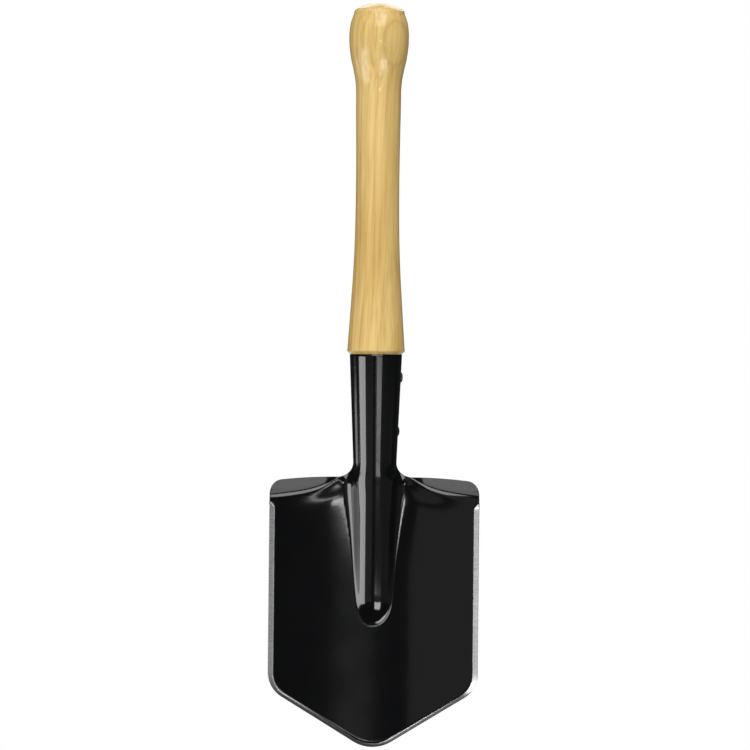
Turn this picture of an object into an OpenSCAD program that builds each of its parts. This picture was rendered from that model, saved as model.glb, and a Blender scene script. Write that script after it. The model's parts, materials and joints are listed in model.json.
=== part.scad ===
// Camp shovel: a pressed steel head with a rolled, open-backed socket, a turned wooden handle
// and the two wood screws that fix it. Millimetres, +Z from the blade's tip to the knob, +X to
// the right of the digging face, which looks along -Y. The origin is on the handle's axis, at
// the middle of the grip.

/* [Overall] */
// Length from the blade's tip to the end of the knob
overall_len = 514; // [500:1:530]
// Height of the origin, the middle of the grip, above the blade's tip
grip_height = 390; // [360:1:420]

/* [Blade] */
// Half the width of the digging face
half_w = 72.2; // [68:0.1:76]
// Height of the steps' top edge, beside the socket
shoulder_z = 186.5; // [180:0.5:192]
// Thickness of the steel sheet
sheet_t = 2; // [1.8:0.1:2.2]
// Slope of the two lower edges
edge_slope = 31.7; // [28:0.1:35]
// Radius of the rounded tip
tip_r = 25; // [15:1:30]
// Radius of the lower corners
corner_r = 20; // [10:1:24]
// How far the wings stand forward of the middle
dish = 11; // [8:0.5:13]
// How far the blade comes forward in each millimetre down from the steps
lift = 0.036; // [0.02:0.001:0.045]
// How much further forward the tip curls
tip_curl = 2.5; // [0:0.5:4]
// Rise of the sheet just under the steps' fold
swell = 1.6; // [0:0.1:2]
// Width of the ground bevel along the sides
bevel_side = 3.2; // [2:0.1:4]
// Width of the ground bevel along the lower edges
bevel_low = 2.2; // [1.5:0.1:3]
// How much of the sheet's thickness the bevel takes away at the edge
bevel_cut = 1.4; // [0.8:0.1:1.5]

/* [Steps] */
// Height of the turned-back flange at its outer end
step_h = 9.8; // [8:0.1:12]
// Angle that the flange is turned back through
step_angle = 45; // [30:1:50]
// Radius of the steps' outer corners
step_corner_r = 7.5; // [6:0.1:9]
// How far the steps' top edge falls away towards its ends
step_fall = 3.2; // [1:0.1:4]

/* [Socket and rib] */
// Outer radius of the socket at its mouth
mouth_r = 18; // [17:0.1:19]
// Height of the socket's mouth above the blade's tip
mouth_z = 271; // [265:1:280]
// Radius lost in each millimetre down the socket and the rib
taper = 0.0417; // [0.035:0.0001:0.045]
// Radius of the web between the socket and the steps
web_r = 10.5; // [9:0.5:12]
// Height at which the rib's nose starts to round off
nose_z = 103; // [95:1:110]
// How much longer than wide the rounded nose is
nose_stretch = 1.48; // [1.3:0.01:1.7]
// Width of the open seam at the back of the socket
seam_w = 4; // [3:0.5:6]
// Height at which the seam starts to open out
seam_z = 238; // [230:1:245]

/* [Handle] */
// Height of the tang's end inside the socket
tang_z = 204; // [202:1:210]
// Radius of the flat at the end of the knob
knob_flat_r = 6.5; // [5:0.5:7]

/* [Screws] */
// Heights of the two screws above the blade's tip
screw_z = [255.7, 218.3];
// How far each screw sits behind the right flank, in degrees
screw_turn = [14, 22];
// Radius of the screw heads
head_r = 3.8; // [3.4:0.1:4]
// Height of the screw heads
head_h = 2; // [1.8:0.1:2.4]
// Radius of the shanks
shank_r = 1.9; // [1.6:0.1:2.1]
// Length of the shanks under the head, with their points
shank_len = 14; // [12:0.5:15]

/* [Hidden] */
$fn = 64;

steel_colour = "#17181a";
wood_colour = "#dcb76c";
screw_colour = "#2a2b2d";

// The socket's wall stands this far outside and inside the sheet where the two join
lap = 0.1;
// Length of that join
lap_len = 1;
// Clearance of the tang inside the socket, and of the screws in their holes
tang_gap = 0.15;
hole_gap = 0.1;
// Slope of the rib's flanks on the blade and at the neck, and the blends at their feet
flank_blade = 63;
flank_neck = 72;
blend_nose = 3;
blend_blade = 11;
blend_neck = 4;
// How fast the rib's crest bends down towards its nose
crest_bend = 0.00025;
// Largest bend radius of the steps' fold, and the shape of the fold's fading in
fold_r = 3;
fold_power = 3.5;
fold_ease = 0.05;
fold_start = 24;
// Height over which the swell under the fold dies away, how fast it does so outwards, and the
// width beside the rib over which it starts
swell_h = 9;
swell_power = 1.5;
swell_start = 13;
// Rise of the sheet at the rib's foot, the width over which it dies away, and its set-back
foot_rise = 3;
foot_spread = 8;
set_back = 0.5;
// The side bevels fade out over this length below the steps
bevel_fade = 6;
bevel_top = shoulder_z - step_h - 5;
// Depth of the flat that each screw head seats on, and the clearance round the head
seat_depth = 0.45;
seat_gap = 0.3;
tang_chamfer = 1.5;
// How far the screws' holes are cut past their seats
cut_past = 5;

neck_z = shoulder_z + web_r;
neck_r = socket_r(neck_z);
flare_start = shoulder_z - 6;

// Grid of the pressed sheet: columns in each stretch from the middle to the side, and rows
rib_cols = 9;
web_cols = 7;
wing_cols = 7;
corner_cols = 5;
blade_rows = 25;
fold_rows = 8;
min_fold_band = 8;
// Steps along each side of the arch that opens the socket at the back
arch_steps = 12;

// Turned profile of the handle as [height, radius], from the shoulder to the knob
shoulder_rim = [mouth_z, 17.4];
handle_line = [
    [mouth_z + 2.5, 19.9], [300, 18.1], [329, 16.3], [357, 15.3], [395, 15], [438, 15.5],
    [457, 15.8], [468, 17.5], [477, 19.5], [489, 20.7], [499, 20], [506, 17.9], [509.5, 16.6],
    [512, 12], [overall_len, knob_flat_r]
];
line_steps = 6;

// Outer radius of the socket, and of the rib that carries its cone on down the blade
function socket_r(z) = mouth_r - taper * (mouth_z - z);

function unit(t) = min(1, max(0, t));
function ease(t) = unit(t) * unit(t) * (3 - 2 * unit(t));
function mix(a, b, t) = a + (b - a) * t;

// The larger of two heights, with a rounded change from one to the other
function soft_max(a, b, k) =
    let (h = max(k - abs(a - b), 0) / k) max(a, b) + h * h * k / 4;

// Lower edge of the blade: round tip, straight slope, round corner
function bottom_z(x) =
    let (
        ax = abs(x),
        start = tip_r * (1 - 1 / cos(edge_slope)),
        cx = half_w - corner_r,
        cz = start + tan(edge_slope) * cx + corner_r / cos(edge_slope)
    )
    ax < tip_r * sin(edge_slope) ? tip_r - sqrt(tip_r * tip_r - ax * ax)
    : ax < cx + corner_r * sin(edge_slope) ? start + tan(edge_slope) * ax
    : cz - sqrt(max(0, corner_r * corner_r - (ax - cx) * (ax - cx)));

// Upper edge of the sheet: neck, web, falling step, round corner
function top_z(x) =
    let (
        ax = abs(x),
        web_end = neck_r + web_r,
        corner_x = half_w - step_corner_r,
        out = max(0, ax - corner_x)
    )
    ax < neck_r ? neck_z
    : ax < web_end ? neck_z - sqrt(web_r * web_r - (web_end - ax) * (web_end - ax))
    : shoulder_z - step_fall * pow((ax - web_end) / (half_w - web_end), 2)
        - (step_corner_r - sqrt(max(0, step_corner_r * step_corner_r - out * out)));

// Height of the flange above its fold, which fades in away from the socket
function fold_h(x) =
    let (t = unit((abs(x) - fold_start) / (half_w - fold_start)))
    step_h * (1 - pow(1 - t * t * (1 + fold_ease) / (t + fold_ease), fold_power));

// Where the straight top edge would be without its corner, from which the fold is measured
function fold_z(x) =
    let (web_end = neck_r + web_r, out = max(0, abs(x) - web_end))
    shoulder_z - step_fall * pow(out / (half_w - web_end), 2) - fold_h(x);

// How far the flange has gone back at a point
function fold_back(x, z) =
    let (r = min(fold_r, fold_h(x) / 2) + 0.01, over = z - fold_z(x))
    fold_h(x) <= 0 || over < -r ? 0
    : tan(step_angle) * (over > r ? over : (over + r) * (over + r) / (4 * r));

// How far a height is into the neck, from 0 on the blade to 1 at the socket
function in_neck(z) = ease((z - flare_start) / (neck_z - flare_start));

// How far a height is up the rib, from 0 at its nose to 1 at the steps
function up_rib(z) = unit((z - nose_z) / (shoulder_z - nose_z));

// The rib: an arch as round as the neck, with sloping flanks, a falling crest and a round nose
function rib(x, z) =
    let (
        down = neck_z - max(z, nose_z),
        crest = neck_r - taper * down - crest_bend * down * down,
        out = norm([x, max(nose_z - z, 0) / nose_stretch]),
        a = mix(flank_blade, flank_neck, in_neck(z)),
        arch = out < neck_r * sin(a) ? sqrt(neck_r * neck_r - out * out)
            : (neck_r - out * sin(a)) / cos(a)
    )
    crest - neck_r + arch;

// The dished blade, which slopes forward to its tip and swells up to the turned-back steps
function wing(x, z) =
    let (
        down = shoulder_z - z,
        under = max(0, fold_z(x) - z) / swell_h,
        out = unit((abs(x) - fold_start) / (half_w - fold_start)),
        foot = foot_rise * pow(up_rib(z), 3) * exp(-max(abs(x) - neck_r, 0) / foot_spread)
    )
    lift * down + tip_curl * pow(down / shoulder_z, 2) - set_back + dish * pow(x / half_w, 2)
        + foot + swell * ease((abs(x) - neck_r) / swell_start) * pow(1 - out, swell_power)
        * exp(-under * under) - fold_back(x, z);

// Size of the blend between the rib and the blade
function blend_at(z) =
    mix(mix(blend_nose, blend_blade, pow(up_rib(z), 2)), blend_neck, in_neck(z));

// Height of the digging face towards the user's front, all features together
function face_h(x, z) = soft_max(rib(x, z), wing(x, z), blend_at(z));

// Unit normal of the face, pointing to the back of the sheet
function face_normal(x, z) =
    let (
        e = 0.05,
        n = [(face_h(x + e, z) - face_h(x - e, z)) / (2 * e), 1,
             (face_h(x, z + e) - face_h(x, z - e)) / (2 * e)]
    )
    n / norm(n);

// How much the grinding takes off the face at a point
function ground(x, z) =
    let (
        side = (half_w - abs(x)) / bevel_side + 2 * (1 - unit((bevel_top - z) / bevel_fade)),
        low = (z - bottom_z(x)) * cos(edge_slope) / bevel_low
    )
    bevel_cut * (1 - unit(min(side, low)));

half_cols = concat(
    [for (i = [1:rib_cols]) neck_r * sin(flank_neck * i / rib_cols)],
    [for (i = [1:web_cols]) neck_r + web_r * (1 - cos(90 * i / web_cols))],
    [for (i = [1:wing_cols - 1])
        mix(neck_r + web_r, half_w - step_corner_r, i / wing_cols)],
    [for (i = [0:corner_cols])
        half_w - step_corner_r * (1 - sin(90 * i / corner_cols))]
);
n_half = len(half_cols);
cols = concat([for (i = [n_half - 1:-1:0]) -half_cols[i]], [0], half_cols);

// Heights of one column's points: the bevel's row, even rows, then close rows over the fold
function column_z(x) =
    let (
        low = bottom_z(x),
        high = top_z(x),
        band = high - max(min_fold_band, fold_h(x) + fold_r),
        first = min(low + bevel_low / cos(edge_slope), mix(low, band, 0.5 / blade_rows))
    )
    concat([low, first],
        [for (j = [1:blade_rows]) mix(first, band, j / blade_rows)],
        [for (j = [1:fold_rows]) mix(band, high, j / fold_rows)]);

n_col = len(cols);
n_row = blade_rows + fold_rows + 2;
face_pts = [for (x = cols) for (z = column_z(x)) [x, -face_h(x, z), z]];
normals = [for (x = cols) for (z = column_z(x)) face_normal(x, z)];
cuts = [for (x = cols) for (z = column_z(x)) ground(x, z)];
front_pts = [for (i = [0:len(face_pts) - 1]) face_pts[i] + cuts[i] * normals[i]];
back_pts = [for (i = [0:len(face_pts) - 1]) face_pts[i] + sheet_t * normals[i]];

function front_at(i, j) = i * n_row + j;
function back_at(i, j) = n_col * n_row + i * n_row + j;
rim = concat(
    [for (i = [0:n_col - 2]) [i, 0]], [for (j = [0:n_row - 2]) [n_col - 1, j]],
    [for (i = [n_col - 1:-1:1]) [i, n_row - 1]], [for (j = [n_row - 1:-1:1]) [0, j]]
);

// The pressed sheet: two skins a sheet's thickness apart, closed round the rim
module pressed_sheet() {
    polyhedron(
        points = concat(front_pts, back_pts),
        faces = concat(
            [for (i = [0:n_col - 2]) for (j = [0:n_row - 2]) each
                let (a = front_at(i, j), b = front_at(i + 1, j),
                     c = front_at(i + 1, j + 1), d = front_at(i, j + 1))
                [[a, c, b], [a, d, c]]],
            [for (i = [0:n_col - 2]) for (j = [0:n_row - 2]) each
                let (a = back_at(i, j), b = back_at(i + 1, j),
                     c = back_at(i + 1, j + 1), d = back_at(i, j + 1))
                [[a, b, c], [a, c, d]]],
            [for (k = [0:len(rim) - 1]) each
                let (p = rim[k], q = rim[(k + 1) % len(rim)],
                     a = front_at(p[0], p[1]), b = front_at(q[0], q[1]),
                     c = back_at(q[0], q[1]), d = back_at(p[0], p[1]))
                [[a, b, c], [a, c, d]]]
        )
    );
}

// Outline of the opening at the back: a parallel seam that flares out into an arch
module back_opening() {
    arch_w = neck_r + 2;
    arch_low = neck_z - lap_len - 1;
    arch = [for (i = [0:arch_steps]) [
        mix(seam_w / 2, arch_w, 1 - cos(90 * i / arch_steps)),
        mix(seam_z, arch_low, i / arch_steps)
    ]];
    polygon(concat(
        [[seam_w / 2, mouth_z + 1]], arch,
        [for (i = [arch_steps:-1:0]) [-arch[i][0], arch[i][1]]], [[-seam_w / 2, mouth_z + 1]]
    ));
}

// The rolled socket above the neck
module socket() {
    low = neck_z - lap_len;
    out = lap;
    wall = sheet_t + lap;
    difference() {
        rotate_extrude()
            polygon([
                [socket_r(low) - wall, low], [socket_r(low) + out, low],
                [socket_r(mouth_z) + out, mouth_z], [socket_r(mouth_z) - wall, mouth_z]
            ]);
        translate([0, 2 * mouth_r, 0])
            rotate([90, 0, 0])
                linear_extrude(height = 2 * mouth_r)
                    back_opening();
    }
}

// Turns its children so that +Z points out along a screw's axis, from the socket's centre line
module at_screw(i) {
    translate([0, 0, screw_z[i]])
        rotate([0, 0, screw_turn[i]])
            rotate([0, 90, 0])
                children();
}

function seat_at(i) = socket_r(screw_z[i]) + lap - seat_depth;

module screw_holes(reach) {
    for (i = [0, 1])
        at_screw(i) {
            translate([0, 0, seat_at(i) - reach])
                cylinder(h = reach + cut_past, r = shank_r + hole_gap);
            translate([0, 0, seat_at(i)])
                cylinder(h = cut_past, r = head_r + seat_gap);
        }
}

// Pan-head screw with a cross recess, its head's underside at z = 0
module screw() {
    dome_r = 2.2 * head_r;
    point_len = 5;
    difference() {
        union() {
            intersection() {
                cylinder(h = head_h, r = head_r);
                translate([0, 0, head_h - dome_r])
                    sphere(r = dome_r);
            }
            translate([0, 0, point_len - shank_len])
                cylinder(h = shank_len - point_len + 0.1, r = shank_r);
            translate([0, 0, -shank_len])
                cylinder(h = point_len, r1 = 0.3, r2 = shank_r);
        }
        for (a = [0, 90])
            rotate([0, 0, a])
                translate([-head_r / 2, -0.4, head_h - 1.1])
                    cube([head_r, 0.8, 2]);
    }
}

module shovel_head() {
    color(steel_colour)
        translate([0, 0, -grip_height])
            difference() {
                union() {
                    pressed_sheet();
                    socket();
                }
                screw_holes(mouth_r / 2);
            }
}

// Point on the smooth curve through the handle's profile
function on_line(i, t) =
    let (
        last = len(handle_line) - 1,
        a = handle_line[max(0, i - 1)], b = handle_line[i],
        c = handle_line[i + 1], d = handle_line[min(last, i + 2)]
    )
    b + 0.5 * t * (c - a + t * (2 * a - 5 * b + 4 * c - d + t * (3 * (b - c) + d - a)));

module handle() {
    curve = [for (i = [0:len(handle_line) - 2]) for (k = [0:line_steps - 1])
        on_line(i, k / line_steps)];
    tang_r = mouth_r - sheet_t - lap - tang_gap;
    end_r = tang_r - taper * (mouth_z - tang_z);
    color(wood_colour)
        translate([0, 0, -grip_height])
            difference() {
                rotate_extrude()
                    polygon(concat(
                        [[0, tang_z], [end_r - tang_chamfer, tang_z],
                         [end_r, tang_z + tang_chamfer], [tang_r, mouth_z],
                         [shoulder_rim[1], shoulder_rim[0]]],
                        [for (p = curve) [p[1], p[0]]],
                        [[knob_flat_r, overall_len], [0, overall_len]]
                    ));
                screw_holes(shank_len + 1);
            }
}

module socket_screws() {
    color(screw_colour)
        translate([0, 0, -grip_height])
            for (i = [0, 1])
                at_screw(i)
                    translate([0, 0, seat_at(i)])
                        screw();
}

shovel_head();
handle();
socket_screws();
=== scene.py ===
import bpy
import json
import math
import numpy as np
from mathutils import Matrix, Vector

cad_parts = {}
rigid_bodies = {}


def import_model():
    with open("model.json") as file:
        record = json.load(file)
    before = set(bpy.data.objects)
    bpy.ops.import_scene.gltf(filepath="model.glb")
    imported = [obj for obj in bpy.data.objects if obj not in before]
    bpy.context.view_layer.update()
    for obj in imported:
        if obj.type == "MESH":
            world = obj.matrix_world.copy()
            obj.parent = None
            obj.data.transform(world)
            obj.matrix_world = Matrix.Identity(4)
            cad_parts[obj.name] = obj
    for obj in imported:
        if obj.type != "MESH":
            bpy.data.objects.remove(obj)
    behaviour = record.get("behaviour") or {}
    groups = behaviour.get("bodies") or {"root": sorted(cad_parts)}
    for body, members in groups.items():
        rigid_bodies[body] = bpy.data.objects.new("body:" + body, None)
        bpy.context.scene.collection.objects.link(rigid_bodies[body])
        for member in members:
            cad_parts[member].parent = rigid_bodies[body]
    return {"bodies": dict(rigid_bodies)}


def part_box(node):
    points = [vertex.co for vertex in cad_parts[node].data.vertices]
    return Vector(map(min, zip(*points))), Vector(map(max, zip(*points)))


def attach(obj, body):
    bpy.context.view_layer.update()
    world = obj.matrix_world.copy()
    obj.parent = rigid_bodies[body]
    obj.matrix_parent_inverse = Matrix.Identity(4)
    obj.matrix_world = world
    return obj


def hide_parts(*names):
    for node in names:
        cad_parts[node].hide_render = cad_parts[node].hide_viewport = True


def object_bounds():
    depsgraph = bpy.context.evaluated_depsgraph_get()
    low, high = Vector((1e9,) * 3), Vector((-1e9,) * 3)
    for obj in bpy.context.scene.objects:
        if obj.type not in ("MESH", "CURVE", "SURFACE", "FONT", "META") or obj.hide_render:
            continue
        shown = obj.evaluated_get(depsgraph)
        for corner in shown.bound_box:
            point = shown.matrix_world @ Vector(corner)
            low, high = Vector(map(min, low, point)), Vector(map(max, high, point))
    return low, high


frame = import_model()
cad_lo, cad_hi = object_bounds()
root = sorted(frame["bodies"])[0]

# The camera.
# A very long lens stands square to the digging face, level with the shovel's middle, so nothing
# looks nearer or larger than the rest. It is rolled a touch, so the knob leans to the right.
MM = 0.001
CAMERA_DISTANCE = 12.0
CAMERA_ROLL = math.radians(-0.585)
CAMERA_SIDE = -0.5 * MM
VIEW_SIDE = 519.0 * MM
VIEW_MIDDLE = Vector((0.0, 0.0, (cad_lo.z + cad_hi.z) / 2))
SENSOR = 36.0

camera_data = bpy.data.cameras.new("camera")
camera_data.sensor_width = SENSOR
camera_data.lens = SENSOR * CAMERA_DISTANCE / VIEW_SIDE
camera_data.clip_end = 100.0
camera = bpy.data.objects.new("camera", camera_data)
camera.location = VIEW_MIDDLE + Vector((CAMERA_SIDE, -CAMERA_DISTANCE, 0.0))
camera.rotation_euler = (math.radians(90.0), CAMERA_ROLL, 0.0)
bpy.context.scene.collection.objects.link(camera)
bpy.context.scene.camera = camera


# The head.
# One blank of 2 mm steel is pressed and rolled: a dished blade with a raised rib, two steps bent
# back along its top, and a socket that closes round the handle but for a seam at the back.
HEAD_LO, HEAD_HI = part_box("shovel_head")
TIP_Z = HEAD_LO.z / MM
MOUTH_Z = (HEAD_HI.z - HEAD_LO.z) / MM
SHEET = 2.0
EDGE_ROUND = 0.25
RIM_OVERHANG = 0.75
HALF_W = (HEAD_HI.x - HEAD_LO.x) / MM / 2 - RIM_OVERHANG
SHOULDER_Z = 186.5
EDGE_SLOPE = math.radians(31.7)
TIP_R = 25.0
CORNER_R = 20.0
DISH = 11.0
LIFT = 0.036
TIP_CURL = 2.5
SWELL = 1.6
SWELL_H = 9.0
SWELL_START = 13.0
SWELL_POWER = 1.5
SET_BACK = 0.5
FOOT_RISE = 3.0
FOOT_SPREAD = 8.0
FOOT_POWER = 3
BEVEL_SIDE = 3.2
BEVEL_LOW = 2.2
BEVEL_CUT = 1.4
BEVEL_TOP = 171.7
BEVEL_FADE = 6.0
STEP_H = 9.8
STEP_SLOPE = 1.0
STEP_CORNER_R = 7.5
STEP_FALL = 3.2
FOLD_START = 24.0
FOLD_R = 3.0
FOLD_POWER = 3.5
FOLD_EASE = 0.05
MOUTH_R = 18.1
TAPER = 0.0417
WEB_R = 10.5
NOSE_Z = 103.0
NOSE_STRETCH = 1.48
CREST_BEND = 0.00025
FLANK = math.radians(63.0)
BLEND_NOSE = 2.2
BLEND_TOP = 14.0
SEAM_W = 4.0
SEAM_Z = 238.0
SCREW_Z = (255.7, 218.3)
SCREW_TURN = (math.radians(14.0), math.radians(22.0))
SEAT_DEPTH = 0.45
SEAT_R = 4.1
SEAT_FLAT = 0.95
SEAT_FADE = 0.35
FLARE_DROP = 6.0
LEAST_FOLD_R = 0.01


def socket_r(z):
    return MOUTH_R - TAPER * (MOUTH_Z - z)


NECK_Z = SHOULDER_Z + WEB_R
NECK_R = socket_r(NECK_Z)
WEB_END = NECK_R + WEB_R
FLARE_START = SHOULDER_Z - FLARE_DROP
CORNER_X = HALF_W - CORNER_R
SLOPE_START = TIP_R * (1 - 1 / math.cos(EDGE_SLOPE))
CORNER_Z = SLOPE_START + math.tan(EDGE_SLOPE) * CORNER_X + CORNER_R / math.cos(EDGE_SLOPE)


def ease(t):
    t = np.clip(t, 0.0, 1.0)
    return t * t * (3 - 2 * t)


def bottom_z(x):
    ax = np.abs(x)
    tip = TIP_R - np.sqrt(np.maximum(TIP_R ** 2 - ax ** 2, 0))
    slope = SLOPE_START + math.tan(EDGE_SLOPE) * ax
    corner = CORNER_Z - np.sqrt(np.maximum(CORNER_R ** 2 - (ax - CORNER_X) ** 2, 0))
    low = np.where(ax < TIP_R * math.sin(EDGE_SLOPE), tip, slope)
    return np.where(ax > CORNER_X + CORNER_R * math.sin(EDGE_SLOPE), corner, low)


def top_z(x):
    ax = np.abs(x)
    out = np.maximum(ax - (HALF_W - STEP_CORNER_R), 0)
    web = NECK_Z - np.sqrt(np.maximum(WEB_R ** 2 - (WEB_END - ax) ** 2, 0))
    step = SHOULDER_Z - STEP_FALL * (np.maximum(ax - WEB_END, 0) / (HALF_W - WEB_END)) ** 2
    step = step - (STEP_CORNER_R - np.sqrt(np.maximum(STEP_CORNER_R ** 2 - out ** 2, 0)))
    return np.where(ax <= NECK_R, NECK_Z, np.where(ax < WEB_END, web, step))


def fold_height(x):
    t = np.clip((np.abs(x) - FOLD_START) / (HALF_W - FOLD_START), 0, 1)
    t = t * t * (1 + FOLD_EASE) / (t + FOLD_EASE)
    return STEP_H * (1 - (1 - t) ** FOLD_POWER)


def fold_line(x):
    out = np.maximum(np.abs(x) - WEB_END, 0)
    return SHOULDER_Z - STEP_FALL * (out / (HALF_W - WEB_END)) ** 2 - fold_height(x)


def fold_back(x, z):
    over = z - fold_line(x)
    r = np.minimum(FOLD_R, fold_height(x) / 2) + LEAST_FOLD_R
    bend = np.where(over > r, over, np.maximum(over + r, 0) ** 2 / (4 * r))
    return np.where(fold_height(x) <= 0, 0.0, STEP_SLOPE * bend)


def rib_height(x, z):
    """The rib in front of the axis: an arch with sloping flanks, a falling crest and a round nose."""
    down = NECK_Z - np.maximum(z, NOSE_Z)
    crest = NECK_R - TAPER * down - CREST_BEND * down * down
    out = np.hypot(x, np.maximum(NOSE_Z - z, 0) / NOSE_STRETCH)
    round_top = np.sqrt(np.maximum(NECK_R ** 2 - out ** 2, 0))
    flank = (NECK_R - out * math.sin(FLANK)) / math.cos(FLANK)
    return crest - NECK_R + np.where(out < NECK_R * math.sin(FLANK), round_top, flank)


def wing_height(x, z):
    """The dished blade, sloping forward to its tip and swelling up to the steps' fold."""
    down = SHOULDER_Z - z
    under = np.maximum(fold_line(x) - z, 0) / SWELL_H
    lean = LIFT * down + TIP_CURL * (down / SHOULDER_Z) ** 2 - SET_BACK
    out = np.clip((np.abs(x) - FOLD_START) / (HALF_W - FOLD_START), 0, 1)
    near_rib = ease((np.abs(x) - NECK_R) / SWELL_START)
    swell = SWELL * near_rib * (1 - out) ** SWELL_POWER * np.exp(-under ** 2)
    foot = FOOT_RISE * np.exp(-np.maximum(np.abs(x) - NECK_R, 0) / FOOT_SPREAD)
    foot = foot * np.clip((z - NOSE_Z) / (SHOULDER_Z - NOSE_Z), 0, 1) ** FOOT_POWER
    return lean + DISH * (x / HALF_W) ** 2 + swell + foot - fold_back(x, z)


def face_height(x, z):
    rib, wing = rib_height(x, z), wing_height(x, z)
    up_rib = np.clip((z - NOSE_Z) / (SHOULDER_Z - NOSE_Z), 0, 1)
    blend = BLEND_NOSE + (BLEND_TOP - BLEND_NOSE) * up_rib ** 2
    near = np.maximum(blend - np.abs(rib - wing), 0) / blend
    return np.maximum(rib, wing) + near * near * blend / 4


def edge_distance(x, z):
    """Distance from the outline, measured in bevel widths."""
    ax = np.abs(x)
    side = (HALF_W - ax) / BEVEL_SIDE + 2 * (1 - np.clip((BEVEL_TOP - z) / BEVEL_FADE, 0, 1))
    slope = (z - SLOPE_START - math.tan(EDGE_SLOPE) * ax) * math.cos(EDGE_SLOPE)
    tip = TIP_R - np.hypot(ax, z - TIP_R)
    low = np.where(ax < (TIP_R - z) * math.tan(EDGE_SLOPE), tip, slope) / BEVEL_LOW
    reach = np.hypot(ax - CORNER_X, z - CORNER_Z)
    turn = np.arctan2(ax - CORNER_X, CORNER_Z - z)
    along = np.clip((turn - EDGE_SLOPE) / (math.pi / 2 - EDGE_SLOPE), 0, 1)
    corner = (CORNER_R - reach) / (BEVEL_LOW + (BEVEL_SIDE - BEVEL_LOW) * along)
    in_corner = (ax > CORNER_X) & (z < CORNER_Z) & (turn > EDGE_SLOPE)
    return np.where(in_corner, corner, np.minimum(side, low))


STRIP_LINES = 26
WEB_LINES = 12
WING_LINES = 24
RIM_OFFSETS = (6.6, 5.7, 4.8, 4.0, 3.2, 2.5, 1.8, 1.2, 0.7, 0.3, 0.08, 0.0)
BEVEL_ROWS = 3
BLADE_ROWS = 110
FOLD_BAND = 8.0
FOLD_ROWS = 26
SOCKET_ROWS = 52
FLAP_LINES = 30

strip_turn = np.radians(90.0 * np.arange(STRIP_LINES + 1) / STRIP_LINES)
web_turn = np.radians(90.0 * np.arange(1, WEB_LINES + 1) / WEB_LINES)
web_x = NECK_R + WEB_R * (1 - np.cos(web_turn))
wing_x = np.linspace(WEB_END, HALF_W - STEP_CORNER_R, WING_LINES + 1)[1:]
rim_x = HALF_W - np.array(RIM_OFFSETS)
half_x = np.concatenate([NECK_R * np.sin(strip_turn), web_x, wing_x, rim_x])
line_x = np.concatenate([-half_x[:0:-1], half_x])
line_turn = np.concatenate([strip_turn, np.full(len(half_x) - len(strip_turn), math.pi / 2)])
line_turn = np.concatenate([-line_turn[:0:-1], line_turn])
SIDE = len(half_x) - 1


def blade_rows(x):
    """Heights of one line's points: close over the bevel, even up the blade, close over the fold."""
    low, high = float(bottom_z(x)), float(top_z(x))
    band = high - max(FOLD_BAND, float(fold_height(x)) + FOLD_R)
    first = low + BEVEL_LOW / math.cos(EDGE_SLOPE)
    first = min(first, low + (band - low) * BEVEL_ROWS / BLADE_ROWS)
    return np.concatenate([
        np.linspace(low, first, BEVEL_ROWS + 1),
        np.linspace(first, band, BLADE_ROWS + 1)[1:],
        np.linspace(band, high, FOLD_ROWS + 1)[1:]])


def seat_flat(point):
    """Presses the socket's wall flat under each screw head."""
    for height, turn in zip(SCREW_Z, SCREW_TURN):
        out = np.array([math.cos(turn), math.sin(turn), 0.0])
        across = np.array([-math.sin(turn), math.cos(turn), 0.0])
        off = point - np.array([0.0, 0.0, height])
        reach = math.hypot(off @ across, off[2])
        depth = off @ out - (socket_r(height) - SEAT_DEPTH)
        if off @ out > 0 and depth > 0 and reach < 2 * SEAT_R:
            point = point - out * depth * (1 - float(ease((reach / SEAT_R - SEAT_FLAT) / SEAT_FADE)))
    return point


points, bare, faces = [], [], []


def add_point(p, ground):
    points.append(seat_flat(np.array(p, float)))
    bare.append(ground)
    return len(points) - 1


# Blade, web and the front of the neck, line by line from left to right
grid = []
for x, turn in zip(line_x, line_turn):
    z = blade_rows(x)
    flat = np.stack([np.full_like(z, x), -face_height(x, z), z], 1)
    w = ease((z - FLARE_START) / (NECK_Z - FLARE_START))
    if abs(x) <= NECK_R:
        cone = np.stack([socket_r(z) * math.sin(turn), -socket_r(z) * math.cos(turn), z], 1)
        place = flat + w[:, None] * (cone - flat)
    else:
        side = math.copysign(1.0, x)
        lip = np.stack([side * socket_r(z), 0 * z, z], 1)
        foot = np.stack([np.full_like(z, side * NECK_R), -face_height(NECK_R, z), z], 1)
        fade = 1 - float(ease((abs(x) - NECK_R) / WEB_R))
        place = flat + (w * fade)[:, None] * (lip - foot)
    ground = 1 - edge_distance(x, z)
    grid.append([add_point(p, float(g)) for p, g in zip(place, ground)])
n_line, n_row = len(grid), len(grid[0])
for i in range(n_line - 1):
    for j in range(n_row - 1):
        faces.append((grid[i][j], grid[i + 1][j], grid[i + 1][j + 1], grid[i][j + 1]))

# Front of the socket, carried on up from the neck
up = np.linspace(0, 1, SOCKET_ROWS + 1)
first, last = SIDE - STRIP_LINES, SIDE + STRIP_LINES
front = {}
for i in range(first, last + 1):
    rows = [grid[i][-1]]
    for v in up[1:]:
        z = NECK_Z + (MOUTH_Z - NECK_Z) * v
        r = socket_r(z)
        rows.append(add_point((r * math.sin(line_turn[i]), -r * math.cos(line_turn[i]), z), -1.0))
    front[i] = rows
for i in range(first, last):
    for j in range(SOCKET_ROWS):
        faces.append((front[i][j], front[i + 1][j], front[i + 1][j + 1], front[i][j + 1]))

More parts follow.
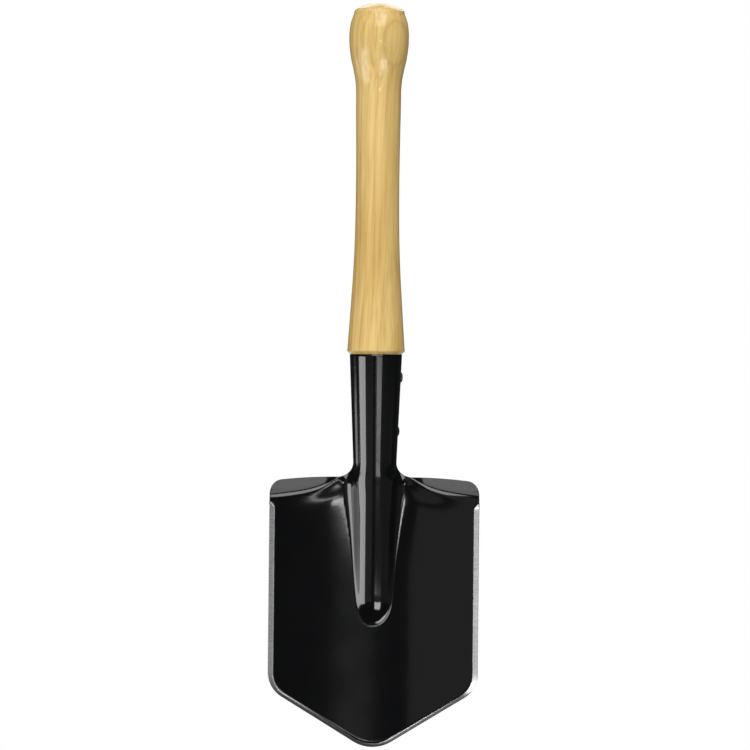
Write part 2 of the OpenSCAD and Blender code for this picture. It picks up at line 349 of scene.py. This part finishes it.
# The two flaps that close the socket round the back, down to the arch between them
for side in (-1, 1):
    lines = [front[last] if side > 0 else front[first]]
    for k in range(1, FLAP_LINES + 1):
        f = k / FLAP_LINES
        arch = 0.5 - math.sin(math.asin(1 - 2 * f) / 3)
        low = NECK_Z + (SEAM_Z - NECK_Z) * arch
        rows = []
        for v in up:
            z = low + (MOUTH_Z - low) * v
            r = socket_r(z)
            seam = math.pi - math.asin(SEAM_W / 2 / r)
            turn = side * (math.pi / 2 + (seam - math.pi / 2) * f)
            rows.append(add_point((r * math.sin(turn), -r * math.cos(turn), z), -1.0))
        lines.append(rows)
    for a, b in zip(lines, lines[1:]):
        if side < 0:
            a, b = b, a
        for j in range(SOCKET_ROWS):
            faces.append((a[j], b[j], b[j + 1], a[j + 1]))

skin = bpy.data.meshes.new("skin")
skin.from_pydata([tuple(p) for p in points], [], faces)
skin.update()
normals = np.array([v.vector for v in skin.vertex_normals])
bpy.data.meshes.remove(skin)

outer = np.array(points)
ground = np.array(bare)
cut = BEVEL_CUT * np.clip(ground, 0, 1)
front_skin = outer - normals * cut[:, None]
back_skin = outer - normals * SHEET

# The rim: the edges that only one face uses, in order round the outline, rounded over
edges = dict.fromkeys(edge for f in faces for edge in zip(f, f[1:] + f[:1]))
following = {a: b for a, b in edges if (b, a) not in edges}
start = next(iter(following))
loop = [start]
while following[loop[-1]] != start:
    loop.append(following[loop[-1]])
loop = np.array(loop)
along = np.roll(outer[loop], -1, 0) - np.roll(outer[loop], 1, 0)
outward = np.cross(along, normals[loop])
outward /= np.linalg.norm(outward, axis=1)[:, None]

RIM_STEPS = 6
BARE_FADE = 0.25
n_skin = len(points)
verts = [front_skin, back_skin]
bare_edge = [ground, np.full(n_skin, -1.0)]
all_faces = list(faces) + [tuple(n_skin + v for v in f[::-1]) for f in faces]
middle = (front_skin[loop] + back_skin[loop]) / 2
half = (front_skin[loop] - back_skin[loop]) / 2
thick = np.linalg.norm(half, axis=1)[:, None] * 2
ring = [list(loop)]
for k in range(1, RIM_STEPS):
    a = math.pi * k / RIM_STEPS
    verts.append(middle + half * math.cos(a) + outward * math.sin(a) * EDGE_ROUND * thick / 2)
    bare_edge.append(ground[loop] - BARE_FADE * k)
    base = 2 * n_skin + (k - 1) * len(loop)
    ring.append([base + m for m in range(len(loop))])
ring.append([n_skin + v for v in loop])
for a, b in zip(ring, ring[1:]):
    for m in range(len(loop)):
        n = (m + 1) % len(loop)
        all_faces.append((a[n], a[m], b[m], b[n]))

verts = np.concatenate(verts)
verts[:, 2] += TIP_Z
head_mesh = bpy.data.meshes.new("shovel_head_sheet")
head_mesh.from_pydata((verts * MM).tolist(), [], all_faces)
head_mesh.shade_smooth()
head_mesh.attributes.new("bare_edge", "FLOAT", "POINT").data.foreach_set(
    "value", np.concatenate(bare_edge))
head = bpy.data.objects.new("shovel_head_sheet", head_mesh)
bpy.context.scene.collection.objects.link(head)


def add_node(tree, kind, **values):
    """Adds a node; keyword arguments set its properties, or its inputs when they end in _in."""
    node = tree.nodes.new(kind)
    for key, value in values.items():
        if key.endswith("_in"):
            socket = node.inputs[key[:-3].replace("_", " ").title()]
            if isinstance(value, bpy.types.NodeSocket):
                tree.links.new(value, socket)
            else:
                socket.default_value = value
        else:
            setattr(node, key, value)
    return node


def add_ramp(tree, value, stops):
    """Adds a colour ramp on a value; each stop is a position and a colour."""
    node = tree.nodes.new("ShaderNodeValToRGB")
    tree.links.new(value, node.inputs["Fac"])
    ramp = node.color_ramp
    while len(ramp.elements) < len(stops):
        ramp.elements.new(0.5)
    for element, (position, colour) in zip(ramp.elements, stops):
        element.position = position
        element.color = (*colour, 1.0)
    return node.outputs["Color"]


def add_math(tree, operation, a, b=0.0, c=0.0, clamp=False):
    """Adds a sum of numbers or sockets, and gives back its result."""
    node = tree.nodes.new("ShaderNodeMath")
    node.operation = operation
    node.use_clamp = clamp
    for socket, value in zip(node.inputs, (a, b, c)):
        if isinstance(value, bpy.types.NodeSocket):
            tree.links.new(value, socket)
        else:
            socket.default_value = value
    return node.outputs[0]


def new_material(name):
    material = bpy.data.materials.new(name)
    material.use_nodes = True
    tree = material.node_tree
    return material, tree, tree.nodes["Principled BSDF"], tree.nodes["Material Output"]


def enamel_on_steel():
    material, tree, paint, output = new_material("black_enamel_on_steel")
    place = add_node(tree, "ShaderNodeTexCoord").outputs["Object"]
    paint.inputs["Base Color"].default_value = (0.0022, 0.0023, 0.0026, 1.0)
    peel = add_node(tree, "ShaderNodeTexNoise", vector_in=place, scale_in=420.0, detail_in=1.0)
    dust = add_node(tree, "ShaderNodeTexNoise", vector_in=place, scale_in=45.0, detail_in=5.0)
    rough = add_math(tree, "MULTIPLY_ADD", dust.outputs["Fac"], 0.06, 0.07)
    tree.links.new(rough, paint.inputs["Roughness"])
    bump = add_node(tree, "ShaderNodeBump", strength_in=0.05, distance_in=0.0002,
                    height_in=peel.outputs["Fac"])
    tree.links.new(bump.outputs["Normal"], paint.inputs["Normal"])

    steel = add_node(tree, "ShaderNodeBsdfPrincipled", metallic_in=1.0)
    grind_map = add_node(tree, "ShaderNodeMapping", vector_in=place,
                         scale_in=(120.0, 120.0, 2600.0))
    grind = add_node(tree, "ShaderNodeTexNoise", vector_in=grind_map.outputs[0], scale_in=1.0,
                     detail_in=3.0)
    steel_colour = add_ramp(tree, grind.outputs["Fac"], [
        (0.3, (0.27, 0.27, 0.275)), (0.7, (0.48, 0.48, 0.485))])
    steel_rough = add_ramp(tree, grind.outputs["Fac"], [(0.3, (0.38,) * 3), (0.7, (0.26,) * 3)])
    tree.links.new(steel_colour, steel.inputs["Base Color"])
    tree.links.new(steel_rough, steel.inputs["Roughness"])
    grooves = add_node(tree, "ShaderNodeBump", strength_in=0.25, distance_in=0.0002,
                       height_in=grind.outputs["Fac"])
    tree.links.new(grooves.outputs["Normal"], steel.inputs["Normal"])

    edge = add_node(tree, "ShaderNodeAttribute", attribute_name="bare_edge")
    ragged = add_node(tree, "ShaderNodeTexNoise", vector_in=place, scale_in=900.0, detail_in=3.0)
    stray = add_math(tree, "SUBTRACT", ragged.outputs["Fac"], 0.5)
    line = add_math(tree, "ADD", edge.outputs["Fac"], add_math(tree, "MULTIPLY", stray, 0.2))
    bare_mask = add_math(tree, "MULTIPLY", line, 14.0, clamp=True)
    mix = tree.nodes.new("ShaderNodeMixShader")
    tree.links.new(bare_mask, mix.inputs[0])
    tree.links.new(paint.outputs[0], mix.inputs[1])
    tree.links.new(steel.outputs[0], mix.inputs[2])
    tree.links.new(mix.outputs[0], output.inputs["Surface"])
    return material


head_mesh.materials.append(enamel_on_steel())
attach(head, root)
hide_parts("shovel_head")


# The handle.
# Turned from one piece of pale hardwood: a tapered tang inside the socket, a chamfered shoulder on
# its mouth, a slim waist and a round knob. Clear lacquer over all of it.
KNOB_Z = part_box("handle")[1].z / MM - TIP_Z
TANG_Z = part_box("handle")[0].z / MM - TIP_Z
TANG_GAP = 0.35
TANG_R = MOUTH_R - SHEET - TANG_GAP
TANG_CHAMFER = 1.5
TANG_CHAMFER_DROP = 65.0
TANG_LEAD = 6.0
TANG_LINES = 20
MOUTH_EASE = 0.05
SHOULDER_LINE = ((0.0, 17.2), (0.15, 17.5), (2.1, 19.55), (2.3, 19.75))
KNOB_FLAT_R = 6.5
HANDLE_LINE = np.array([
    (MOUTH_Z + 2.5, 19.9), (300, 18.1), (329, 16.3), (357, 15.3), (395, 15.0), (438, 15.5),
    (457, 15.8), (468, 17.5), (477, 19.5), (489, 20.65), (499, 20.0), (506, 17.9), (509.5, 16.6),
    (512, 12.0), (KNOB_Z, KNOB_FLAT_R)])
LINE_STEPS = 16
TURN_FACETS = 128
HANDLE_SHARP = math.radians(50)

turned = [(TANG_Z, TANG_R - TAPER * (MOUTH_Z - TANG_Z) - TANG_CHAMFER)]
turned += [(TANG_Z + TANG_CHAMFER, TANG_R - TAPER * TANG_CHAMFER_DROP)]
turned += [(z, TANG_R - TAPER * (MOUTH_Z - z))
           for z in np.linspace(TANG_Z + TANG_LEAD, MOUTH_Z - MOUTH_EASE, TANG_LINES)]
turned += [(MOUTH_Z + rise, r) for rise, r in SHOULDER_LINE]
for i in range(len(HANDLE_LINE) - 1):
    a, b = HANDLE_LINE[max(i - 1, 0)], HANDLE_LINE[i]
    c, d = HANDLE_LINE[i + 1], HANDLE_LINE[min(i + 2, len(HANDLE_LINE) - 1)]
    bend = 2 * a - 5 * b + 4 * c - d
    twist = 3 * (b - c) + d - a
    for t in np.arange(LINE_STEPS) / LINE_STEPS:
        turned.append(tuple(b + 0.5 * t * (c - a + t * (bend + t * twist))))
turned.append((KNOB_Z, KNOB_FLAT_R))


def link_nodes(tree, *pairs):
    for a, b in pairs:
        tree.links.new(a, b)


def lathe_tree():
    """Turns the profile that a curve's radii give into a closed solid."""
    tree = bpy.data.node_groups.new("wood_lathe", "GeometryNodeTree")
    face = tree.interface
    face.new_socket("Profile", in_out="INPUT", socket_type="NodeSocketGeometry")
    face.new_socket("Facets", in_out="INPUT", socket_type="NodeSocketInt")
    face.new_socket("Wood", in_out="INPUT", socket_type="NodeSocketMaterial")
    face.new_socket("Handle", in_out="OUTPUT", socket_type="NodeSocketGeometry")
    given = tree.nodes.new("NodeGroupInput")
    result = tree.nodes.new("NodeGroupOutput")
    circle = tree.nodes.new("GeometryNodeCurvePrimitiveCircle")
    radius = tree.nodes.new("GeometryNodeInputRadius")
    sweep = tree.nodes.new("GeometryNodeCurveToMesh")
    smooth = tree.nodes.new("GeometryNodeSetShadeSmooth")
    realize = tree.nodes.new("GeometryNodeRealizeInstances")
    finish = tree.nodes.new("GeometryNodeSetMaterial")
    circle.inputs["Radius"].default_value = 1.0
    sweep.inputs["Fill Caps"].default_value = True
    link_nodes(
        tree, (given.outputs["Facets"], circle.inputs["Resolution"]),
        (given.outputs["Profile"], sweep.inputs["Curve"]),
        (circle.outputs["Curve"], sweep.inputs["Profile Curve"]),
        (radius.outputs[0], sweep.inputs["Scale"]),
        (sweep.outputs[0], smooth.inputs[0]), (smooth.outputs[0], realize.inputs[0]),
        (realize.outputs[0], finish.inputs["Geometry"]),
        (given.outputs["Wood"], finish.inputs["Material"]), (finish.outputs[0], result.inputs[0]))
    return tree


def set_inputs(modifier, **values):
    for item in modifier.node_group.interface.items_tree:
        if item.in_out == "INPUT" and item.name in values:
            modifier[item.identifier] = values[item.name]


def settle(source, name):
    """Turns an object's evaluated result into a plain mesh object, and drops the source."""
    bpy.context.view_layer.update()
    ready = source.evaluated_get(bpy.context.evaluated_depsgraph_get())
    mesh = bpy.data.meshes.new_from_object(ready)
    bpy.data.objects.remove(source)
    piece = bpy.data.objects.new(name, mesh)
    mesh.name = name
    bpy.context.scene.collection.objects.link(piece)
    return piece


def lacquered_wood():
    material, tree, wood, _ = new_material("lacquered_wood")
    place = add_node(tree, "ShaderNodeTexCoord").outputs["Object"]
    # Growth rings: wide cylinders round a pith that lies behind the piece and leans a little
    lean = add_node(tree, "ShaderNodeMapping", vector_in=place, location_in=(0.036, -0.040, 0.0),
                    rotation_in=(math.radians(0.8), math.radians(-2.4), 0.0))
    sway = add_node(tree, "ShaderNodeTexNoise", vector_in=lean.outputs[0], scale_in=7.0,
                    detail_in=2.0)
    flat = add_node(tree, "ShaderNodeMapping", vector_in=lean.outputs[0], scale_in=(1.0, 1.0, 0.0))
    reach = tree.nodes.new("ShaderNodeVectorMath")
    reach.operation = "LENGTH"
    tree.links.new(flat.outputs[0], reach.inputs[0])
    wander = add_math(tree, "MULTIPLY", sway.outputs["Fac"], 0.011)
    rings = add_math(tree, "MULTIPLY", add_math(tree, "ADD", reach.outputs["Value"], wander), 210.0)
    ring = add_math(tree, "FRACT", rings)
    colour = add_ramp(tree, ring, [
        (0.0, (0.58, 0.395, 0.135)), (0.15, (0.645, 0.45, 0.165)), (0.55, (0.68, 0.485, 0.185)),
        (0.86, (0.63, 0.435, 0.155)), (1.0, (0.58, 0.395, 0.135))])
    # Fibres: fine streaks along the handle
    fibre_map = add_node(tree, "ShaderNodeMapping", vector_in=lean.outputs[0],
                         scale_in=(700.0, 700.0, 16.0))
    fibre = add_node(tree, "ShaderNodeTexNoise", vector_in=fibre_map.outputs[0], scale_in=1.0,
                     detail_in=4.0)
    fibre_tint = add_ramp(tree, fibre.outputs["Fac"], [
        (0.3, (0.84, 0.80, 0.70)), (0.55, (1.0, 1.0, 1.0)), (0.8, (1.05, 1.05, 1.02))])
    # Mineral streaks: broad, long and faint
    streak_map = add_node(tree, "ShaderNodeMapping", vector_in=lean.outputs[0],
                          scale_in=(110.0, 110.0, 7.0))
    streak = add_node(tree, "ShaderNodeTexNoise", vector_in=streak_map.outputs[0], scale_in=1.0,
                      detail_in=3.0)
    streak_tint = add_ramp(tree, streak.outputs["Fac"], [
        (0.3, (0.86, 0.78, 0.64)), (0.5, (0.98, 0.97, 0.94)), (0.7, (1.05, 1.06, 1.06))])
    for tint in (fibre_tint, streak_tint):
        mix = tree.nodes.new("ShaderNodeMix")
        mix.data_type = "RGBA"
        mix.blend_type = "MULTIPLY"
        mix.inputs["Factor"].default_value = 1.0
        tree.links.new(colour, mix.inputs[6])
        tree.links.new(tint, mix.inputs[7])
        colour = mix.outputs[2]
    tree.links.new(colour, wood.inputs["Base Color"])
    wood.inputs["Roughness"].default_value = 0.5
    wood.inputs["Specular IOR Level"].default_value = 0.25
    wood.inputs["Coat Weight"].default_value = 0.4
    wood.inputs["Coat Roughness"].default_value = 0.1
    bump = add_node(tree, "ShaderNodeBump", strength_in=0.12, distance_in=0.0003,
                    height_in=fibre.outputs["Fac"])
    tree.links.new(bump.outputs["Normal"], wood.inputs["Normal"])
    return material


profile = bpy.data.curves.new("handle_profile", "CURVE")
profile.dimensions = "3D"
spline = profile.splines.new("POLY")
spline.points.add(len(turned) - 1)
for point, (z, r) in zip(spline.points, turned):
    point.co = (0.0, 0.0, (z + TIP_Z) * MM, 1.0)
    point.radius = r * MM
blank = bpy.data.objects.new("handle_blank", profile)
bpy.context.scene.collection.objects.link(blank)
lathe = blank.modifiers.new("wood_lathe", "NODES")
lathe.node_group = lathe_tree()
set_inputs(lathe, Facets=TURN_FACETS, Wood=lacquered_wood())
handle = settle(blank, "turned_handle")
handle.data.set_sharp_from_angle(angle=HANDLE_SHARP)
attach(handle, root)
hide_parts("handle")


# The two screws.
# Pan-head wood screws with a cross recess, driven through the right flank of the socket into the
# tang and painted over with the head.
def black_paint():
    material, tree, paint, _ = new_material("painted_screws")
    place = add_node(tree, "ShaderNodeTexCoord").outputs["Object"]
    worn = add_node(tree, "ShaderNodeTexNoise", vector_in=place, scale_in=700.0, detail_in=4.0)
    colour = add_ramp(tree, worn.outputs["Fac"], [(0.45, (0.006,) * 3), (0.75, (0.03,) * 3)])
    rough = add_ramp(tree, worn.outputs["Fac"], [(0.3, (0.14,) * 3), (0.75, (0.32,) * 3)])
    tree.links.new(colour, paint.inputs["Base Color"])
    tree.links.new(rough, paint.inputs["Roughness"])
    bump = add_node(tree, "ShaderNodeBump", strength_in=0.2, distance_in=0.0001,
                    height_in=worn.outputs["Fac"])
    tree.links.new(bump.outputs["Normal"], paint.inputs["Normal"])
    return material


SCREW_HEAD_R = 3.8
SCREW_HEAD_H = 2.0
SHANK_R = 1.9
SHANK_LEN = 14.0
POINT_LEN = 5.0
POINT_R = 0.35
NECK_LEN = 0.3
CROWN_R = 1.3
CROWN_LOW = 0.55
CROWN_RISE = 1.1
CROWN_STEPS = 8
SCREW_FACETS = 48
SCREW_SHARP = math.radians(40)
# Height, half length and half width of the recess's blades, at its floor and above its mouth
RECESS = ((0.75, 0.7, 0.3), (2.6, 2.1, 0.62))


def pan_head_screw():
    """One screw along +Z with the underside of its head at z = 0."""
    side = [
        (0.0, -SHANK_LEN), (POINT_R, -SHANK_LEN + 0.4), (SHANK_R, POINT_LEN - SHANK_LEN),
        (SHANK_R, -NECK_LEN), (SHANK_R + NECK_LEN, 0.0),
        (SCREW_HEAD_R - 0.15, 0.0), (SCREW_HEAD_R, 0.12)]
    for k in range(CROWN_STEPS + 1):
        a = math.radians(90 * k / CROWN_STEPS)
        r = SCREW_HEAD_R - CROWN_R * (1 - math.cos(a))
        side.append((r, CROWN_LOW + CROWN_RISE * math.sin(a)))
    side += [(1.6, SCREW_HEAD_H - 0.12), (0.8, SCREW_HEAD_H - 0.02), (0.0, SCREW_HEAD_H)]
    verts, faces = [(0.0, 0.0, side[0][1] * MM)], []
    for r, z in side[1:-1]:
        for k in range(SCREW_FACETS):
            a = 2 * math.pi * k / SCREW_FACETS
            verts.append((r * MM * math.cos(a), r * MM * math.sin(a), z * MM))
    verts.append((0.0, 0.0, side[-1][1] * MM))
    rings = len(side) - 2
    for k in range(SCREW_FACETS):
        n = (k + 1) % SCREW_FACETS
        faces.append((0, 1 + n, 1 + k))
        for j in range(rings - 1):
            a, b = 1 + j * SCREW_FACETS, 1 + (j + 1) * SCREW_FACETS
            faces.append((a + k, a + n, b + n, b + k))
        top = 1 + (rings - 1) * SCREW_FACETS
        faces.append((top + k, top + n, len(verts) - 1))
    mesh = bpy.data.meshes.new("pan_head_screw")
    mesh.from_pydata(verts, [], faces)
    screw = bpy.data.objects.new("pan_head_screw", mesh)
    bpy.context.scene.collection.objects.link(screw)
    # The cross recess: two tapered blades are cut out of the head
    cutter_verts, cutter_faces = [], []
    for turn in (0.0, math.pi / 2):
        base = len(cutter_verts)
        for z, long, wide in RECESS:
            for sx, sy in ((-1, -1), (1, -1), (1, 1), (-1, 1)):
                x, y = sx * long, sy * wide
                cutter_verts.append((
                    (x * math.cos(turn) - y * math.sin(turn)) * MM,
                    (x * math.sin(turn) + y * math.cos(turn)) * MM, z * MM))
        cutter_faces += [tuple(base + v for v in f) for f in (
            (3, 2, 1, 0), (4, 5, 6, 7), (0, 1, 5, 4), (1, 2, 6, 5), (2, 3, 7, 6), (3, 0, 4, 7))]
    cutter_mesh = bpy.data.meshes.new("recess")
    cutter_mesh.from_pydata(cutter_verts, [], cutter_faces)
    cutter = bpy.data.objects.new("recess", cutter_mesh)
    bpy.context.scene.collection.objects.link(cutter)
    cut_out = screw.modifiers.new("recess", "BOOLEAN")
    cut_out.operation = "DIFFERENCE"
    cut_out.solver = "EXACT"
    cut_out.use_self = True
    cut_out.object = cutter
    done = settle(screw, "pan_head_screw")
    bpy.data.objects.remove(cutter)
    done.data.shade_smooth()
    done.data.set_sharp_from_angle(angle=SCREW_SHARP)
    return done


def screw_tree():
    """Puts one screw on every point, standing along the point's own direction."""
    tree = bpy.data.node_groups.new("drive_screws", "GeometryNodeTree")
    face = tree.interface
    face.new_socket("Places", in_out="INPUT", socket_type="NodeSocketGeometry")
    face.new_socket("Screw", in_out="INPUT", socket_type="NodeSocketObject")
    face.new_socket("Size", in_out="INPUT", socket_type="NodeSocketFloat")
    face.new_socket("Paint", in_out="INPUT", socket_type="NodeSocketMaterial")
    face.new_socket("Screws", in_out="OUTPUT", socket_type="NodeSocketGeometry")
    given = tree.nodes.new("NodeGroupInput")
    result = tree.nodes.new("NodeGroupOutput")
    one = tree.nodes.new("GeometryNodeObjectInfo")
    way = tree.nodes.new("GeometryNodeInputNamedAttribute")
    way.data_type = "FLOAT_VECTOR"
    way.inputs["Name"].default_value = "way_out"
    turn = tree.nodes.new("FunctionNodeAlignRotationToVector")
    points_node = tree.nodes.new("GeometryNodeMeshToPoints")
    put = tree.nodes.new("GeometryNodeInstanceOnPoints")
    realize = tree.nodes.new("GeometryNodeRealizeInstances")
    finish = tree.nodes.new("GeometryNodeSetMaterial")
    link_nodes(
        tree, (given.outputs["Places"], points_node.inputs["Mesh"]),
        (given.outputs["Screw"], one.inputs["Object"]),
        (way.outputs["Attribute"], turn.inputs["Vector"]),
        (points_node.outputs[0], put.inputs["Points"]),
        (one.outputs["Geometry"], put.inputs["Instance"]),
        (turn.outputs[0], put.inputs["Rotation"]), (given.outputs["Size"], put.inputs["Scale"]),
        (put.outputs[0], realize.inputs[0]), (realize.outputs[0], finish.inputs["Geometry"]),
        (given.outputs["Paint"], finish.inputs["Material"]), (finish.outputs[0], result.inputs[0]))
    return tree


places = bpy.data.meshes.new("screw_places")
ways = [(math.cos(t), math.sin(t), 0.0) for t in SCREW_TURN]
seats = [socket_r(z) - SEAT_DEPTH for z in SCREW_Z]
places.from_pydata([(w[0] * s * MM, w[1] * s * MM, (z + TIP_Z) * MM)
                    for w, s, z in zip(ways, seats, SCREW_Z)], [], [])
places.attributes.new("way_out", "FLOAT_VECTOR", "POINT").data.foreach_set(
    "vector", [c for w in ways for c in w])
screw_points = bpy.data.objects.new("screw_places", places)
bpy.context.scene.collection.objects.link(screw_points)
pattern_screw = pan_head_screw()
drive = screw_points.modifiers.new("drive_screws", "NODES")
drive.node_group = screw_tree()
set_inputs(drive, Screw=pattern_screw, Size=1.0, Paint=black_paint())
screws = settle(screw_points, "socket_screws_painted")
bpy.data.objects.remove(pattern_screw)
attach(screws, root)
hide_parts("socket_screws")


# The studio.
# A plain white floor well below the tip, a white surround, and soft boxes that stand where their
# long reflections run down the enamel. The floor stays out of those reflections.
FLOOR_DROP = 1.9
FLOOR_SIDE = 30.0
floor_z = cad_lo.z - FLOOR_DROP
floor_mesh = bpy.data.meshes.new("floor")
floor_mesh.from_pydata(
    [(-FLOOR_SIDE, -FLOOR_SIDE, floor_z), (FLOOR_SIDE, -FLOOR_SIDE, floor_z),
     (FLOOR_SIDE, FLOOR_SIDE, floor_z), (-FLOOR_SIDE, FLOOR_SIDE, floor_z)], [], [(0, 1, 2, 3)])
floor = bpy.data.objects.new("floor", floor_mesh)
bpy.context.scene.collection.objects.link(floor)
floor_material, _, floor_shader, _ = new_material("floor_pale")
floor_shader.inputs["Base Color"].default_value = (0.9, 0.9, 0.9, 1.0)
floor_shader.inputs["Roughness"].default_value = 0.9
floor_shader.inputs["Emission Color"].default_value = (1.0, 1.0, 1.0, 1.0)
floor_shader.inputs["Emission Strength"].default_value = 0.95
floor_mesh.materials.append(floor_material)
floor.visible_glossy = False
floor.visible_diffuse = False


def area_light(name, width, height, glow, location, rotation):
    light = bpy.data.lights.new(name, "AREA")
    light.shape = "RECTANGLE"
    light.size = width
    light.size_y = height
    light.energy = glow * width * height * math.pi
    box = bpy.data.objects.new(name, light)
    box.location = location
    box.rotation_euler = rotation
    bpy.context.scene.collection.objects.link(box)


def soft_box(name, azimuth, width, low, high, glow, distance=1.6, tilt=90.0):
    """A soft box at an angle to the right of the camera, from one height to another above the tip."""
    a = math.radians(azimuth)
    middle = (TIP_Z + (low + high) / 2) * MM
    area_light(
        name, width, (high - low) * MM, glow,
        (math.sin(a) * distance, -math.cos(a) * distance, middle), (math.radians(tilt), 0.0, a))


soft_box("key_left", -64.5, 0.95, -300.0, 220.0, 7.0)
soft_box("strip_right", 17.5, 2.2, -322.0, -226.0, 9.5, distance=6.0)
soft_box("pane", 6.0, 1.15, -70.0, 270.0, 12.5, distance=6.0)
soft_box("rim_left", -110.0, 0.5, -1200.0, 166.0, 2.7)
soft_box("gap_left", -90.0, 0.3, -1200.0, 95.0, 2.7)
soft_box("fill_high", -28.0, 1.8, 210.0, 2000.0, 0.27, distance=3.0)
soft_box("fill_low", -28.0, 1.8, -450.0, 40.0, 0.27, distance=3.0)
soft_box("fill_right", 62.0, 4.5, -450.0, 40.0, 0.11, distance=3.0)
soft_box("low_right", 23.0, 1.2, -1050.0, -310.0, 9.0, distance=2.0)
soft_box("high_front", 6.0, 3.0, 1400.0, 3600.0, 5.2, distance=3.0, tilt=50.0)
soft_box("back_high", 168.0, 2.6, 1300.0, 3000.0, 3.0, distance=3.0, tilt=50.0)
soft_box("back_low", 180.0, 5.0, -1500.0, -420.0, 1.5, distance=2.5)
area_light("top", 1.6, 1.6, 2.2, (0.0, 0.0, 1.6), (0.0, 0.0, 0.0))

world = bpy.data.worlds.new("studio")
world.use_nodes = True
bpy.context.scene.world = world
sky = world.node_tree
white = sky.nodes["Background"]
white.inputs["Color"].default_value = (1.0, 1.0, 1.0, 1.0)
white.inputs["Strength"].default_value = 1.0
dim = add_node(sky, "ShaderNodeBackground")
dim.inputs["Color"].default_value = (0.9, 0.95, 1.0, 1.0)
dim.inputs["Strength"].default_value = 0.04
rays = add_node(sky, "ShaderNodeLightPath")
pick = sky.nodes.new("ShaderNodeMixShader")
link_nodes(
    sky, (rays.outputs["Is Camera Ray"], pick.inputs[0]), (dim.outputs[0], pick.inputs[1]),
    (white.outputs[0], pick.inputs[2]), (pick.outputs[0], sky.nodes["World Output"].inputs["Surface"]))
bpy.context.scene.view_settings.view_transform = "Standard"
